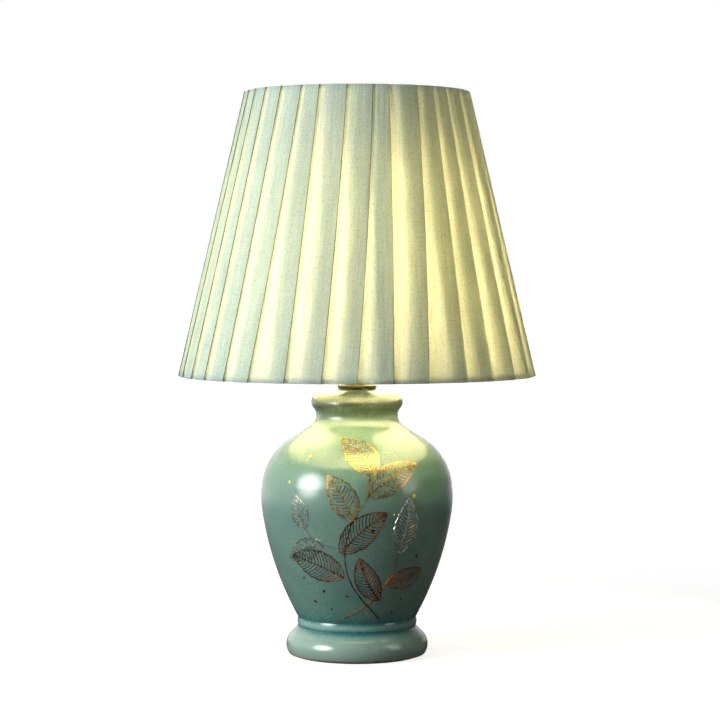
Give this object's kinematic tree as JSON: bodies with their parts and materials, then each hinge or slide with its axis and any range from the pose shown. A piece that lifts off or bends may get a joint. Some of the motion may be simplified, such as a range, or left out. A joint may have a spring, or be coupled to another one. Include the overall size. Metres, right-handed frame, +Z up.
{
  "type": "ginger jar lamp",
  "caption": "Table lamp with a glazed ginger jar body, turned neck cap, screw lampholder, filament bulb and a knife-pleated empire shade on a wire fitter.",
  "frame": {"origin": "centre of the felt pad's underside, on the table", "axes": "+Z up along the lamp's axis, -Y to the front, the cord bush at the back on +Y"},
  "size_m": [0.28, 0.28, 0.441],
  "materials": {
    "felt": "dense dark felt",
    "celadon_glaze": "glossy crackle glaze",
    "black_plastic": "moulded, slightly glossy",
    "zinc_steel": "zinc plated",
    "rubber": "matt",
    "brass": "plain",
    "dark_bronze": "dark bronze lacquer",
    "porcelain": "unglazed porcelain",
    "solder": "dull solder",
    "black_glass": "glossy",
    "nickel": "nickel plated",
    "clear_glass": "clear",
    "filament": "lit",
    "white_wire": "white powder coat",
    "liner_film": "translucent film",
    "mint_cloth": "fine plain weave, translucent",
    "mint_tape": "plain weave tape"
  },
  "bodies": {
    "lamp": {"felt_pad": "felt", "ceramic_jar": "celadon_glaze", "cord_bush": "black_plastic", "threaded_tube": "zinc_steel", "floor_gasket": "rubber", "floor_washer": "zinc_steel", "lock_washer": "zinc_steel", "neck_gasket": "rubber", "floor_nut": "brass", "neck_nut": "brass", "vase_cap": "dark_bronze", "holder_cap": "black_plastic", "grub_screw": "zinc_steel", "contact_block": "porcelain", "terminal_screws": "brass", "centre_contact": "brass", "side_contact": "brass", "screw_shell": "brass", "holder_shell": "black_plastic", "lower_shade_ring": "black_plastic", "upper_shade_ring": "black_plastic"},
    "bulb_lift": {"bulb_eyelet": "solder"},
    "bulb": {"bulb_insulator": "black_glass", "bulb_cap": "nickel", "filament_stem": "clear_glass", "filaments": "filament", "bulb_glass": "clear_glass"},
    "shade": {"shade_fitter": "white_wire", "shade_liner": "liner_film", "pleated_cover": "mint_cloth", "bottom_rim_wire": "white_wire", "bottom_rim_tape": "mint_tape", "top_rim_wire": "white_wire", "top_rim_tape": "mint_tape"}
  },
  "joints": [
    {"name": "shade_swivel", "type": "hinge", "parent": "lamp", "child": "shade", "pos_m": [0, 0, 0.25], "axis": [0, 0, 1], "continuous": true},
    {"name": "bulb_rise", "type": "slide", "parent": "lamp", "child": "bulb_lift", "axis": [0, 0, 1], "range_m": [0, 0.0109]},
    {"name": "bulb_turn", "type": "hinge", "parent": "bulb_lift", "child": "bulb", "pos_m": [0, 0, 0.245], "axis": [0, 0, 1], "range_deg": [0, 1080]}
  ],
  "couplings": [
    {"joint": "bulb_rise", "follows": "bulb_turn", "m_per_rad": 0.00057757}
  ]
}
